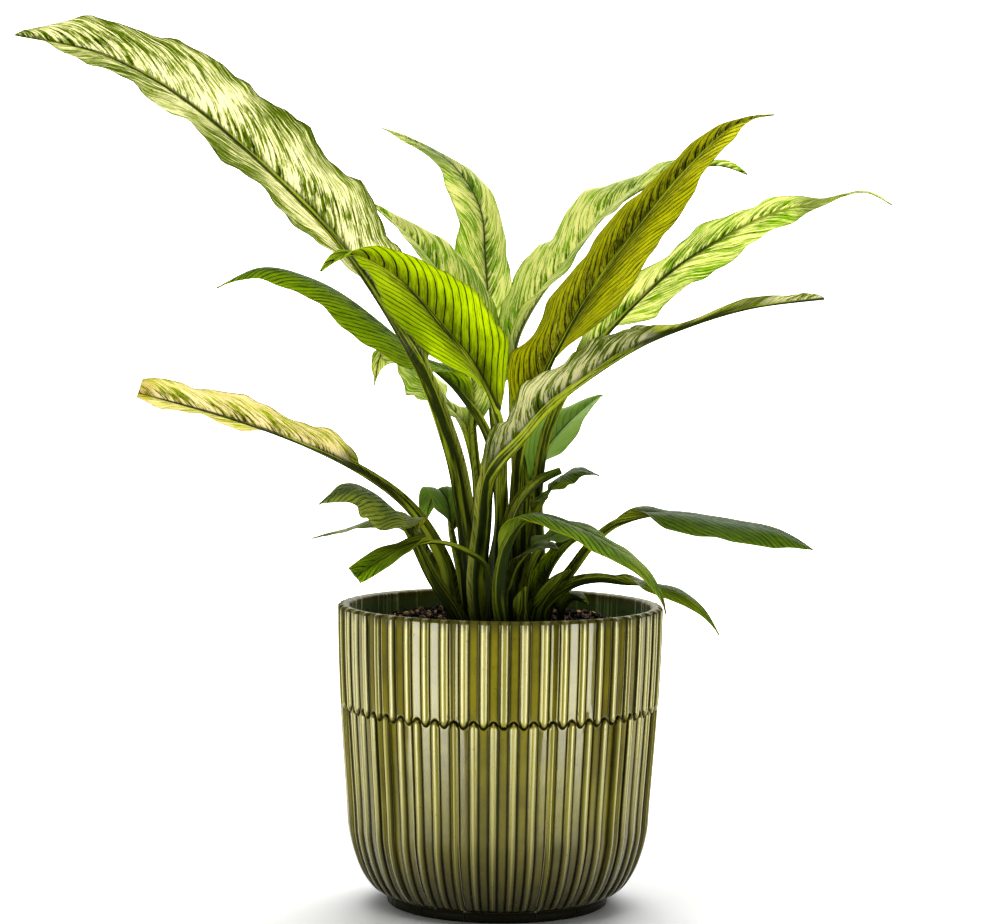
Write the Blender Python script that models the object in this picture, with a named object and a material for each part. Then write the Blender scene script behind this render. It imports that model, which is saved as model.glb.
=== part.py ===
"""Variegated peace lily growing in a ribbed, glazed pot.

Frame: metres, +Z up, front towards -Y, origin at the middle of the pot's foot.
Pieces: the pot, the soil, and every leaf with the stalk it grew on.
"""
import math

import bmesh
import bpy
from mathutils import Vector

MM = 0.001
TAU = 2 * math.pi

# ---- driving dimensions ----------------------------------------------------
RIM_DIAMETER = 150 * MM       # over the ribs, at the mouth
POT_HEIGHT = 138 * MM
WALL = 5.5 * MM               # rib crest to inside face
RIB_COUNT = 51                # ribs in each of the two bands
RIB_RELIEF = 1.2 * MM         # groove to crest
RIB_START = 1.65              # degrees from the front to the first upper rib
SEAM_DROP = 46 * MM           # mouth down to the step between the bands
SEAM_HALF = 0.7 * MM          # half the height of that step
TAPER = 5.25 * MM             # how much the wall draws in between mouth and waist
FLARE = 0.6                   # below 1 the wall opens out soon above the waist
BOTTOM_ROUND = 34 * MM        # height of the curve between waist and foot
ROUNDNESS = 1.5               # power of that curve; 2 would be an ellipse
FOOT_RADIUS = 51 * MM
FOOT_DRAFT = 0.8 * MM         # how much wider the foot is at its top
FOOT_STEP = 1 * MM            # how far the wall stands out over the foot
FOOT_HEIGHT = 5.5 * MM
FLOOR_THICKNESS = 9 * MM
LIP = 1.2 * MM                # bevel on both edges of the mouth

FIT_GAP = 0.35 * MM           # clearance under the soil and under every stalk
SOIL_GAP = 0.5 * MM           # clearance between soil and wall
SOIL_DROP = 14 * MM           # mouth down to the soil at the wall
SOIL_EDGE_RISE = 0.5 * MM     # how far the soil rises from the wall to the mound
MOUND_HEIGHT = 8 * MM         # how far the soil rises to the crown
MOUND_SPREAD = 0.77           # how far the mound's slope runs towards the wall
MOUND_BULGE = 0.7             # share of the mound's height that is reached half way up its slope

LEAF_SCALE = 1.0              # leaves and clump about the crown, in every direction
CLUMP_RADIUS = 53 * MM        # the stalks rise within this circle at that scale
BLADE_THICKNESS = 0.8 * MM
STALK_FOLD = 58               # degrees each side of a stalk is folded up
STALK_HALF = 4 * MM           # up to this half width a section is all stalk
BLADE_HALF = 10 * MM          # from this half width on it is all blade
STALK_BELOW = 0.45            # how full a stalk is under its arms, in keel depths
STALK_ABOVE = 0.15            # and over them
TIP_HALF = 0.5                # half width at the tip, in leaf millimetres
KEEL_AT_BASE = 1.15           # keel depth at the crown, in stalk half widths
KEEL_AT_TIP = 0.7             # and at the tip, in leaf millimetres
OPENING = 3.5                 # how fast the fold opens: it is open at 1 / OPENING of the blade
STEPS_PER_POINT = 2           # cross-sections between two route points

# ---- derived sizes ---------------------------------------------------------
RIM_RADIUS = RIM_DIAMETER / 2
WAIST_RADIUS = RIM_RADIUS - TAPER
WAIST_Z = FOOT_HEIGHT + BOTTOM_ROUND
SEAM_Z = POT_HEIGHT - SEAM_DROP
SOIL_EDGE_Z = POT_HEIGHT - SOIL_DROP
CROWN_Z = SOIL_EDGE_Z + MOUND_HEIGHT
LEAF_MM = MM * LEAF_SCALE     # a leaf's own millimetre
MOUND_RADIUS = CLUMP_RADIUS * LEAF_SCALE

# ---- leaves ----------------------------------------------------------------
# Each route runs from the crown to the tip. A row is x, y, height above the
# crown (leaf millimetres), roll (degrees, positive lifts the leaf's left side)
# and, where the blade swells or narrows there, a factor on its width.
# stem: share of the length that is stalk.  width: widest part of the blade.
# stalk: half width of the stalk at the crown.  fold: degrees the halves rise.
# peak: below 1 the blade is widest near its base.  blunt: below 1 it is full.
# cut: share of the blade left where the end is torn or cut away.
PLAIN = dict(stem=0.4, width=40, stalk=3.2, fold=15, peak=0.75, blunt=0.85, cut=1.0)
LEAVES = {
    "leaf_tall_left": dict(stem=0.34, width=56, stalk=5.0, blunt=0.55, peak=0.9, route=[
        (-11, -20, 0, 0), (-13, -19, 20, 0), (-16, -20, 48, 0),
        (-23, -26, 81, 0, 0.3), (-41, -46, 125, 5, 0.75), (-76, -78, 176, 15),
        (-126, -106, 222, 15, 1.1), (-163, -122, 244, 20, 1.1), (-201, -132, 252, 20)]),
    "leaf_back_centre": dict(stem=0.38, width=32, fold=-12, peak=0.62, route=[
        (-2, 24, 0, 0), (1, 28, 28, 0), (0, 38, 63, 0), (-4, 48, 90, 0),
        (-6, 60, 123, 0), (-9, 80, 163, 0), (-12, 92, 190, 0),
        (-25, 104, 211, 0), (-42, 112, 222, 0), (-62, 120, 231, 0)]),
    "leaf_back_left": dict(stem=0.40, width=35, fold=25, route=[
        (-9, 12, 0, 0), (-10, 15, 28, 0), (-11, 22, 56, 0), (-14, 30, 84, 0),
        (-15, 34, 108, 0), (-21, 44, 142, 0), (-36, 56, 165, 0),
        (-50, 66, 179, 0), (-65, 74, 192, 0)]),
    "leaf_mid_left": dict(stem=0.42, width=38, stalk=3.0, fold=-30, route=[
        (-6, -3, 0, 0), (-3, -2, 23, 0), (0, -1, 46, 0), (-5, -2, 80, 0),
        (-18, -4, 102, 0), (-34, -6, 117, -10), (-69, -12, 145, -15),
        (-91, -18, 156, -15), (-110, -22, 159, -10), (-129, -26, 150, 0)]),
    "leaf_arching_centre": dict(stem=0.40, width=42, route=[
        (-2, -14, 0, 0), (-1, -15, 28, 0), (0, -16, 58, 0), (-1, -26, 89, 10),
        (-12, -46, 115, 20), (-28, -74, 136, 20), (-39, -94, 149, 20),
        (-51, -110, 159, 10), (-64, -120, 164, 0), (-76, -126, 157, 0)]),
    "leaf_front_right": dict(stem=0.28, width=28, stalk=4.8, fold=50, blunt=0.6, route=[
        (-9, -33, 0, 0), (-11, -33, 20, 0), (-9, -35, 44, 0), (-6, -42, 68, 0),
        (8, -54, 86, 0), (24, -70, 104, 0), (54, -82, 125, 0, 0.8),
        (79, -87, 136, 0, 0.1), (106, -91, 144, -10, 0.5), (136, -94, 148, -20)]),
    "leaf_broad_right": dict(stem=0.32, width=54, stalk=3.0, fold=-3, route=[
        (7, -8, 0, 0), (6, -8, 28, 0), (6, -9, 56, 0), (9, -12, 82, 0),
        (21, -18, 118, 0), (42, -38, 156, 0), (69, -60, 193, 0),
        (91, -76, 217, 0), (103, -83, 224, 0), (114, -88, 226, 0)]),
    "leaf_back_right": dict(stem=0.40, width=39, fold=22, route=[
        (3, 13, 0, 0), (5, 16, 28, 0), (7, 22, 61, 0), (5, 32, 98, 0),
        (5, 41, 124, 0), (16, 50, 147, 0), (33, 60, 168, 0),
        (50, 72, 189, 0), (77, 86, 206, 0), (102, 94, 213, 0),
        (119, 98, 209, 0)]),
    "leaf_outer_right": dict(stem=0.40, width=33, fold=-8, route=[
        (18, 14, 0, 0), (17, 15, 28, 0), (16, 14, 60, 0), (22, 10, 90, -10),
        (39, 6, 121, -25), (62, 8, 147, -40), (85, 14, 166, -40),
        (120, 20, 186, -40), (150, 22, 194, -20, 0.6), (167, 22, 198, 0),
        (180, 20, 192, 0)]),
    "leaf_small_back": dict(stem=0.50, width=34, stalk=2.8, fold=12, route=[
        (12, 26, 0, 0), (12, 29, 18, 0), (13, 35, 43, 0), (17, 42, 68, 0),
        (30, 52, 86, 0), (48, 62, 101, 0)]),
    "leaf_drooping_back": dict(stem=0.50, width=26, stalk=2.6, fold=-15, route=[
        (-13, 24, 0, 0), (-12, 27, 23, 0), (-11, 32, 53, 0), (-18, 40, 84, 0),
        (-31, 48, 101, 0), (-46, 55, 116, 0), (-55, 58, 123, 0),
        (-60, 60, 117, 0), (-62, 60, 104, 0)]),
    "leaf_drying_left": dict(stem=0.46, width=30, stalk=3.6, fold=15, peak=0.9, blunt=0.5,
                             cut=0.93, route=[
        (-20, -12, 0, 0), (-22, -11, 13, 0), (-26, -10, 28, 0),
        (-40, -12, 50, 0), (-60, -18, 66, 10), (-88, -26, 80, 20),
        (-122, -34, 92, 30), (-162, -40, 103, 40)]),
    "leaf_folded_left": dict(stem=0.45, width=40, stalk=3.4, fold=-25, route=[
        (-17, -30, 0, 0), (-22, -29, 9, 0), (-31, -30, 22, 0),
        (-41, -38, 42, 0), (-48, -44, 52, 0), (-55, -50, 59, -20),
        (-67, -58, 63, -25), (-80, -64, 56, 0)]),
    "leaf_small_left": dict(stem=0.50, width=20, stalk=2.6, fold=0, route=[
        (-17, 5, 0, 0), (-18, 9, 16, 0), (-23, 16, 37, 0), (-25, 20, 51, 0),
        (-30, 23, 57, 0), (-34, 26, 51, 0), (-36, 28, 41, 0)]),
    "leaf_thin_left": dict(stem=0.35, width=16, stalk=2.2, fold=-10, route=[
        (-24, 18, 0, 0), (-27, 21, 13, 0), (-37, 27, 31, 0), (-48, 32, 39, 0),
        (-60, 36, 41, -10), (-75, 40, 36, -10), (-90, 42, 32, 0)]),
    "leaf_strap_left": dict(stem=0.60, width=12, stalk=1.6, fold=-5, blunt=0.4, peak=0.9,
                            cut=0.8, route=[
        (-6, -41, 0, 0), (-5, -42, 16, 0), (-7, -43, 28, 0), (-18, -48, 36, 0),
        (-30, -54, 39, 0), (-43, -60, 37, -20), (-53, -64, 32, -40),
        (-64, -68, 25, -40)]),
    "leaf_low_front": dict(stem=0.25, width=20, fold=-15, route=[
        (1, -48, 0, 0), (-1, -48, 14, 0), (0, -50, 28, 0),
        (5, -54, 44, 0), (14, -58, 52, 0), (30, -65, 48, 10),
        (46, -73, 41, 10), (61, -79, 31, 10), (69, -81, 20, 10),
        (72, -82, 11, 0)]),
    "leaf_low_right": dict(stem=0.38, width=30, stalk=2.8, fold=-20, peak=1.1, blunt=0.7, route=[
        (20, -8, 0, 0), (23, -8, 11, 0), (32, -7, 23, 0), (41, -8, 35, 0),
        (53, -10, 45, 0), (73, -14, 50, 10), (101, -20, 47, 15),
        (124, -24, 43, 15), (141, -26, 35, 10)]),
    "leaf_low_outer": dict(stem=0.45, width=14, fold=-15, route=[
        (17, -28, 0, 0), (19, -28, 9, 0), (31, -31, 19, 0), (43, -34, 22, 0),
        (55, -38, 21, 0), (67, -40, 20, 10), (80, -42, 16, 20),
        (90, -43, 9, 20), (98, -44, -2, 10)]),
    "leaf_yellowing": dict(stem=0.20, width=14, stalk=1.8, fold=25, route=[
        (27, -16, 0, 0), (28, -17, 6, 0), (33, -19, 11, 0), (40, -21, 9, 0)]),
    "leaf_torn_back": dict(stem=0.55, width=22, stalk=2.8, fold=-15, route=[
        (12, 6, 0, 0), (11, 7, 18, 0), (12, 8, 36, 0), (18, 5, 52, 0),
        (26, 2, 64, 0), (35, 0, 68, 15), (45, -1, 66, 15)]),
    "stalk_broken": dict(stem=0.30, width=8, stalk=3.6, fold=50, blunt=0.3, cut=0.85, route=[
        (1, -24, 0, 0), (2, -24, 18, 0), (3, -23, 38, 0), (7, -21, 52, 0),
        (16, -18, 62, 0), (27, -16, 68, 0)]),
    "leaf_bluish": dict(stem=0.48, width=22, stalk=2.8, fold=-5, route=[
        (9, -29, 0, 0), (10, -27, 14, 0), (13, -25, 26, 0), (20, -23, 37, 0),
        (31, -20, 43, 10), (40, -19, 43, 20), (47, -18, 40, 0)]),
    "leaf_broad_low": dict(stem=0.20, width=20, fold=30, route=[
        (13, -17, 0, 0), (16, -16, 11, 0), (22, -15, 24, 0), (30, -14, 34, 0),
        (37, -14, 39, 0)]),
    "leaf_brown_front": dict(stem=0.30, width=22, stalk=3.0, fold=0, route=[
        (4, -37, 0, 0), (4, -37, 13, 0), (6, -39, 25, 0), (12, -43, 34, 20),
        (19, -47, 37, 10), (26, -50, 36, 0)]),
    "leaf_short_right": dict(stem=0.25, width=12, stalk=2.6, fold=35, route=[
        (14, -38, 0, 0), (17, -38, 10, 0), (24, -38, 19, 0), (31, -38, 26, 0)]),
    "sheath_front": dict(stem=0.30, width=9, fold=45, route=[
        (10, -47, 0, 0), (10, -47, 9, 0), (11, -48, 19, 0)]),
    "leaf_rolled_new": dict(stem=0.30, width=8, stalk=3.0, fold=60, route=[
        (7, 0, 0, 0), (10, 0, 28, 0), (11, 0, 53, 0), (11, -1, 68, 0),
        (9, -2, 77, 0)]),
}

GREEN = (0.10, 0.22, 0.03)
CREAM_GREEN = (0.48, 0.52, 0.16)
LEAF_COLOURS = {
    "leaf_tall_left": CREAM_GREEN,
    "leaf_front_right": CREAM_GREEN,
    "leaf_back_centre": CREAM_GREEN,
    "leaf_back_left": CREAM_GREEN,
    "leaf_drooping_back": CREAM_GREEN,
    "leaf_drying_left": (0.45, 0.38, 0.18),
    "leaf_yellowing": (0.60, 0.50, 0.08),
    "leaf_brown_front": (0.14, 0.12, 0.03),
}


# ---- small helpers ---------------------------------------------------------
def clear_scene():
    for item in list(bpy.data.objects):
        bpy.data.objects.remove(item, do_unlink=True)


def material(name, colour, roughness):
    made = bpy.data.materials.new(name)
    made.use_nodes = True
    shader = made.node_tree.nodes["Principled BSDF"]
    shader.inputs["Base Color"].default_value = (*colour, 1)
    shader.inputs["Roughness"].default_value = roughness
    return made


def add_object(name, bm, surface, smooth_angle):
    bmesh.ops.recalc_face_normals(bm, faces=bm.faces)
    mesh = bpy.data.meshes.new(name)
    bm.to_mesh(mesh)
    bm.free()
    mesh.shade_smooth()
    mesh.set_sharp_from_angle(angle=math.radians(smooth_angle))
    mesh.materials.append(surface)
    made = bpy.data.objects.new(name, mesh)
    bpy.context.scene.collection.objects.link(made)
    return made


def ease(value):
    value = min(max(value, 0.0), 1.0)
    return value * value * (3 - 2 * value)


def blend(start, end, share):
    return start + (end - start) * share


def bridge(bm, lower, upper):
    """Quads between two closed rings of the same length."""
    for i in range(len(lower)):
        j = (i + 1) % len(lower)
        bm.faces.new((lower[i], lower[j], upper[j], upper[i]))


# ---- the pot ---------------------------------------------------------------
# Corners of one rib pitch, as shares of it: crest edges and foot edges. The
# lower band uses the same four lines with crests and grooves exchanged.
RIB_LINES = (-0.35, -0.15, 0.15, 0.35)
UPPER_CREST = (False, True, True, False)
# Where the lower band's rings lie, as shares of its height: closest where the
# bottom curves most. The inside needs fewer.
LOWER_RINGS = (1, 0.6, 0.32, 0.18, 0.08)
INSIDE_RINGS = (1, 0.55, 0.25, 0.1, 0)


def wall_radius(z):
    """Outside radius of the pot over the rib crests at height z."""
    if z >= WAIST_Z:
        share = ease((z - WAIST_Z) / (POT_HEIGHT - WAIST_Z))
        return blend(WAIST_RADIUS, RIM_RADIUS, share ** FLARE)
    share = 1 - (z - FOOT_HEIGHT) / BOTTOM_ROUND
    curve = math.sqrt(max(0.0, 1 - share ** ROUNDNESS))
    return blend(FOOT_RADIUS + FOOT_STEP, WAIST_RADIUS, curve)


def ribbed_ring(bm, z, radius, relief, upper):
    ring = []
    for rib in range(RIB_COUNT):
        for line, crest in zip(RIB_LINES, UPPER_CREST):
            angle = TAU * (rib + line) / RIB_COUNT + math.radians(RIB_START - 90)
            inset = 0 if crest == upper else relief
            reach = radius - inset
            ring.append(bm.verts.new((reach * math.cos(angle), reach * math.sin(angle), z)))
    return ring


def plain_ring(bm, z, radius):
    ring = []
    for step in range(RIB_COUNT):
        angle = TAU * (step - 0.5) / RIB_COUNT + math.radians(RIB_START - 90)
        ring.append(bm.verts.new((radius * math.cos(angle), radius * math.sin(angle), z)))
    return ring


def flat_collar(bm, ribbed, plain):
    """Flat faces from a ribbed ring in to a plain ring at the same height."""
    lines = len(RIB_LINES)
    for rib in range(RIB_COUNT):
        after = (rib + 1) % RIB_COUNT
        outer = [ribbed[rib * lines + i] for i in range(lines)] + [ribbed[after * lines]]
        bm.faces.new(outer + [plain[after], plain[rib]])


def inside_rings():
    """Height and radius of each ring of the pot's inside, from the top down.

    The inside is the outside curve, one wall further in and squeezed upwards
    so that it starts on the floor and not on the foot.
    """
    rings = []
    for share in INSIDE_RINGS:
        beside = blend(FOOT_HEIGHT, POT_HEIGHT - LIP, share)
        rings.append((blend(FLOOR_THICKNESS, POT_HEIGHT - LIP, share), wall_radius(beside) - WALL))
    return rings


def inside_radius(z):
    """Inside radius at height z, straight between the inside's rings."""
    rings = inside_rings()
    for (high, wide), (low, narrow) in zip(rings, rings[1:]):
        if z >= low:
            return blend(narrow, wide, (z - low) / (high - low))
    return rings[-1][1]


def build_pot():
    bm = bmesh.new()
    rings = [ribbed_ring(bm, POT_HEIGHT, RIM_RADIUS - LIP, RIB_RELIEF / 2, True)]
    rings.append(ribbed_ring(bm, POT_HEIGHT - LIP, RIM_RADIUS, RIB_RELIEF, True))
    top = SEAM_Z + SEAM_HALF
    rings.append(ribbed_ring(bm, top, wall_radius(top), RIB_RELIEF, True))
    for share in LOWER_RINGS:
        z = blend(FOOT_HEIGHT, SEAM_Z - SEAM_HALF, share)
        rings.append(ribbed_ring(bm, z, wall_radius(z), RIB_RELIEF, False))
    rings.append(ribbed_ring(bm, FOOT_HEIGHT, FOOT_RADIUS + FOOT_DRAFT, 0, False))
    rings.append(ribbed_ring(bm, 0, FOOT_RADIUS, 0, False))
    for upper, lower in zip(rings, rings[1:]):
        bridge(bm, lower, upper)
    inner = [plain_ring(bm, POT_HEIGHT, RIM_RADIUS - WALL + LIP)]
    inner += [plain_ring(bm, z, radius) for z, radius in inside_rings()]
    for upper, lower in zip(inner, inner[1:]):
        bridge(bm, upper, lower)
    bm.faces.new(inner[-1])
    flat_collar(bm, rings[0], inner[0])
    bm.faces.new(rings[-1])
    surface = material("olive_glaze", (0.16, 0.15, 0.03), 0.2)
    return add_object("pot", bm, surface, 30)


# ---- the soil --------------------------------------------------------------
def build_soil():
    """The soil fills the pot's inside and rises to a flat crown."""
    bm = bmesh.new()
    inside = [(z, radius) for z, radius in reversed(inside_rings()) if z < SOIL_EDGE_Z]
    floor_z, floor_radius = inside[0]
    edge = inside_radius(SOIL_EDGE_Z) - SOIL_GAP
    rings = [plain_ring(bm, floor_z + FIT_GAP, floor_radius - SOIL_GAP)]
    rings += [plain_ring(bm, z, radius - SOIL_GAP) for z, radius in inside[1:]]
    rings.append(plain_ring(bm, SOIL_EDGE_Z, edge))
    mound_foot = blend(MOUND_RADIUS, edge, MOUND_SPREAD)
    slope_z = blend(SOIL_EDGE_Z, CROWN_Z, MOUND_BULGE)
    rings.append(plain_ring(bm, SOIL_EDGE_Z + SOIL_EDGE_RISE, mound_foot))
    rings.append(plain_ring(bm, slope_z, (mound_foot + MOUND_RADIUS) / 2))
    rings.append(plain_ring(bm, CROWN_Z - FIT_GAP, MOUND_RADIUS))
    for lower, upper in zip(rings, rings[1:]):
        bridge(bm, lower, upper)
    bm.faces.new(rings[0])
    bm.faces.new(rings[-1])
    surface = material("peat", (0.06, 0.035, 0.02), 0.95)
    return add_object("soil", bm, surface, 20)


# ---- the leaves ------------------------------------------------------------
# Steps from the nearer margin to each of a section's eight corners.
FROM_MARGIN = (0, 1, 2, 1, 0, 1, 2, 1)


def route_points(rows):
    """Route rows as a place in the frame, a roll and a width factor."""
    placed = []
    for x, y, rise, roll, *wide in rows:
        place = Vector((x, y, rise)) * LEAF_MM + Vector((0, 0, CROWN_Z))
        placed.append((place, math.radians(roll), wide[0] if wide else 1.0))
    return placed


def curve_between(points, i, share):
    """A smooth curve through the route: place, direction, roll, width factor."""
    last = len(points) - 1
    p0, p1 = points[max(i - 1, 0)], points[i]
    p2, p3 = points[i + 1], points[min(i + 2, last)]
    tangent_1 = (p2[0] - p0[0]) / 2
    tangent_2 = (p3[0] - p1[0]) / 2
    t, t2, t3 = share, share ** 2, share ** 3
    place = (p1[0] * (2 * t3 - 3 * t2 + 1) + tangent_1 * (t3 - 2 * t2 + t)
             + p2[0] * (3 * t2 - 2 * t3) + tangent_2 * (t3 - t2))
    direction = (p1[0] * (6 * t2 - 6 * t) + tangent_1 * (3 * t2 - 4 * t + 1)
                 + p2[0] * (6 * t - 6 * t2) + tangent_2 * (3 * t2 - 2 * t))
    roll = blend(p1[1], p2[1], ease(share))
    return place, direction.normalized(), roll, blend(p1[2], p2[2], ease(share))


def stations(rows):
    """Stations along a leaf: place, direction, roll, width factor, share."""
    points = route_points(rows)
    found = []
    for i in range(len(points) - 1):
        for step in range(STEPS_PER_POINT):
            found.append(curve_between(points, i, step / STEPS_PER_POINT))
    found.append(curve_between(points, len(points) - 2, 1.0))
    place, _, roll, wide = found[0]
    found[0] = (place, Vector((0, 0, 1)), roll, wide)
    lengths = [0.0]
    for before, after in zip(found, found[1:]):
        lengths.append(lengths[-1] + (after[0] - before[0]).length)
    return [(*item, length / lengths[-1]) for item, length in zip(found, lengths)]


def leaf_shape(leaf, share, wide):
    """Half width, fold and keel depth at a share of the leaf's length."""
    stem = leaf["stem"]
    along = max(0.0, (share - stem) / (1 - stem)) * leaf["cut"]
    lance = max(0.0, math.sin(math.pi * along ** leaf["peak"])) ** leaf["blunt"]
    stalk = blend(leaf["stalk"], TIP_HALF, share)
    half = math.hypot(stalk, leaf["width"] / 2 * lance * wide)
    fold = blend(STALK_FOLD, leaf["fold"], ease(along * OPENING))
    keel = blend(leaf["stalk"] * KEEL_AT_BASE, KEEL_AT_TIP, ease(share ** 0.8))
    return half * LEAF_MM, math.radians(fold), keel * LEAF_MM


def section(bm, place, across, up, half, fold, keel):
    """Eight corners round a folded blade with its keel underneath."""
    arm = (math.cos(fold), math.sin(fold))
    under = (math.sin(fold), -math.cos(fold))
    body = ease((BLADE_HALF - half) / (BLADE_HALF - STALK_HALF))
    below = blend(BLADE_THICKNESS / 2, keel * STALK_BELOW, body)
    above = blend(BLADE_THICKNESS / 2, keel * STALK_ABOVE, body)
    middle = half / 2
    corners = [(half * arm[0], half * arm[1])]
    corners.append((middle * arm[0] - under[0] * above, middle * arm[1] - under[1] * above))
    corners.append((0.0, BLADE_THICKNESS / 2))
    corners.append((-corners[1][0], corners[1][1]))
    corners.append((-corners[0][0], corners[0][1]))
    outer = (middle * arm[0] + under[0] * below, middle * arm[1] + under[1] * below)
    corners += [(-outer[0], outer[1]), (0.0, -keel), outer]
    return [bm.verts.new(place + across * a + up * h) for a, h in corners]


def skin_between(bm, lower, upper):
    """Triangles between two sections, cut alike over and under the blade.

    Each diagonal starts from the lower section's corner nearer the margin, so
    the two faces of a thin blade never cross where the leaf twists.
    """
    for i in range(len(lower)):
        j = (i + 1) % len(lower)
        if FROM_MARGIN[i] < FROM_MARGIN[j]:
            bm.faces.new((lower[i], lower[j], upper[j]))
            bm.faces.new((lower[i], upper[j], upper[i]))
        else:
            bm.faces.new((lower[i], lower[j], upper[i]))
            bm.faces.new((lower[j], upper[j], upper[i]))


def build_leaf(name, leaf, surface):
    bm = bmesh.new()
    rows = leaf["route"]
    heading = Vector((rows[-1][0] - rows[0][0], rows[-1][1] - rows[0][1], 0)).normalized()
    left = Vector((-heading.y, heading.x, 0))
    rings = []
    for place, direction, roll, wide, share in stations(rows):
        across = (left - direction * left.dot(direction)).normalized()
        up = direction.cross(across)
        turned = across * math.cos(roll) + up * math.sin(roll)
        raised = up * math.cos(roll) - across * math.sin(roll)
        half, fold, keel = leaf_shape(leaf, share, wide)
        rings.append(section(bm, place, turned, raised, half, fold, keel))
    for lower, upper in zip(rings, rings[1:]):
        skin_between(bm, lower, upper)
    bm.faces.new(rings[0])
    bm.faces.new(rings[-1])
    return add_object(name, bm, surface, 40)


def build():
    clear_scene()
    build_pot()
    build_soil()
    for name, own in LEAVES.items():
        leaf = PLAIN | own
        colour = LEAF_COLOURS.get(name, GREEN)
        build_leaf(name, leaf, material(name + "_green", colour, 0.45))


build()
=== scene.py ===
# %% [markdown]
# # A variegated peace lily in a ribbed, glazed pot
# The CAD frame gives the pot, the soil and every leaf as plain solids. This lesson
# dresses them: it lays a camera and soft studio light round them, then rebuilds each
# piece with its real surface. Everything is in metres, with Z up and the front
# towards -Y, and every new piece rides on the one body, "root".

# %% Load the frame
import math
import random

import bmesh
import bpy
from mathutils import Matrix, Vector


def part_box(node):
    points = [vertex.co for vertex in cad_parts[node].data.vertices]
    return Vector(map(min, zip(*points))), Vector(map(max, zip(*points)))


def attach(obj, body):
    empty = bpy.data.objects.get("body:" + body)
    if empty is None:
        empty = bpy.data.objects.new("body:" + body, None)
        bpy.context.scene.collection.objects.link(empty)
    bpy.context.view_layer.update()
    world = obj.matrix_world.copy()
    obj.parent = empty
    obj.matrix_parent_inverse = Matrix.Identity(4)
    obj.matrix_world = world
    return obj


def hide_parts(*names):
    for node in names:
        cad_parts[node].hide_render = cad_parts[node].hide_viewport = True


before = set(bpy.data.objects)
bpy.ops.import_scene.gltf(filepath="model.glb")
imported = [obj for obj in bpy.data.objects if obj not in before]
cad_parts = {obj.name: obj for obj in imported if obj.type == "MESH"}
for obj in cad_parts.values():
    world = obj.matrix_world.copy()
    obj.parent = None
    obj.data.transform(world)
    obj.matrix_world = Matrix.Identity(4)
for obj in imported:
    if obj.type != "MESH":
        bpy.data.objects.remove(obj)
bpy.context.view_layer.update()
MM = 0.001
TAU = 2 * math.pi
scene = bpy.context.scene

# %% [markdown]
# ## The camera
# The camera stands a little over a metre off, level with the middle of the plant, and
# looks down by a few degrees, so that the pot's mouth is a thin ellipse. A long lens
# keeps the pot's sides nearly upright. It could look at a target with a constraint,
# but plain angles are easier to read and to repeat.

# %% The camera
CAMERA_DISTANCE = 1.288
CAMERA_HEIGHT = 0.278
CAMERA_PITCH = 3.32  # degrees down
CAMERA_ROLL = 0.65  # degrees, a slight lean to one side
CAMERA_SHIFT = -0.0025  # sideways, in sensor widths
LENS = 101.2  # mm
SENSOR = 36  # mm
SIGHT = 20  # how far the camera sees
bpy.ops.object.camera_add(
    location=(0, -CAMERA_DISTANCE, CAMERA_HEIGHT),
    rotation=(math.radians(90 - CAMERA_PITCH), 0, 0))
camera = bpy.context.object
camera.name = "camera"
camera.rotation_euler.rotate_axis("Z", math.radians(CAMERA_ROLL))
camera.data.lens = LENS
camera.data.sensor_width = SENSOR
camera.data.shift_x = CAMERA_SHIFT
camera.data.clip_end = SIGHT
scene.camera = camera
print("camera at", tuple(round(c, 3) for c in camera.location), "lens", LENS)

# %% [markdown]
# ## Floor and light
# A studio would stand the plant on white paper. The floor is a disc whose rim fades
# into the white around it, so no horizon shows. The light is soft and comes from
# behind and above, because leaves glow when light passes through them. The room in
# front is dimmer, because the glaze mirrors it, though it still looks white itself.
# Two wide boxes at the sides draw the long stripes on the glaze. A wall seen from a
# little above mirrors what is lower than itself, so the boxes reach down past the
# level of the floor.

# %% The floor
PAPER = (0.86, 0.86, 0.86, 1)
FLOOR_RADIUS = 0.5
FLOOR_CLEAR = 0.12  # from here on the paper fades


def set_inputs(node, values):
    for key, value in values.items():
        node.inputs[key].default_value = value


def paper_material():
    """Matt paper that fades away towards the rim of the disc."""
    made = bpy.data.materials.new("pale_paper")
    made.use_nodes = True
    nodes, links = made.node_tree.nodes, made.node_tree.links
    shader = nodes["Principled BSDF"]
    set_inputs(shader, {"Base Color": PAPER, "Roughness": 0.9, "Specular IOR Level": 0.1})
    place = nodes.new("ShaderNodeTexCoord")
    reach = nodes.new("ShaderNodeVectorMath")
    reach.operation = "LENGTH"
    fade = nodes.new("ShaderNodeMapRange")
    fade.interpolation_type = "SMOOTHSTEP"
    set_inputs(fade, {"From Min": FLOOR_CLEAR, "From Max": FLOOR_RADIUS, "To Min": 1, "To Max": 0})
    links.new(place.outputs["Object"], reach.inputs[0])
    links.new(reach.outputs["Value"], fade.inputs["Value"])
    links.new(fade.outputs["Result"], shader.inputs["Alpha"])
    return made


bpy.ops.object.select_all(action="DESELECT")
bpy.ops.mesh.primitive_circle_add(vertices=96, radius=FLOOR_RADIUS, fill_type="NGON")
floor = bpy.context.object
floor.name = "floor"
floor.data.materials.append(paper_material())
print("floor", tuple(round(d, 2) for d in floor.dimensions))


# %% Studio light
def softbox(name, place, target, width, height, power):
    """An area lamp at a place, turned to face a target."""
    aim = Vector(target) - Vector(place)
    bpy.ops.object.light_add(type="AREA", location=place,
                             rotation=aim.to_track_quat("-Z", "Y").to_euler())
    lamp = bpy.context.object
    lamp.name = name
    lamp.data.shape = "RECTANGLE"
    lamp.data.size = width
    lamp.data.size_y = height
    lamp.data.energy = power
    lamp.visible_camera = False


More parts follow.
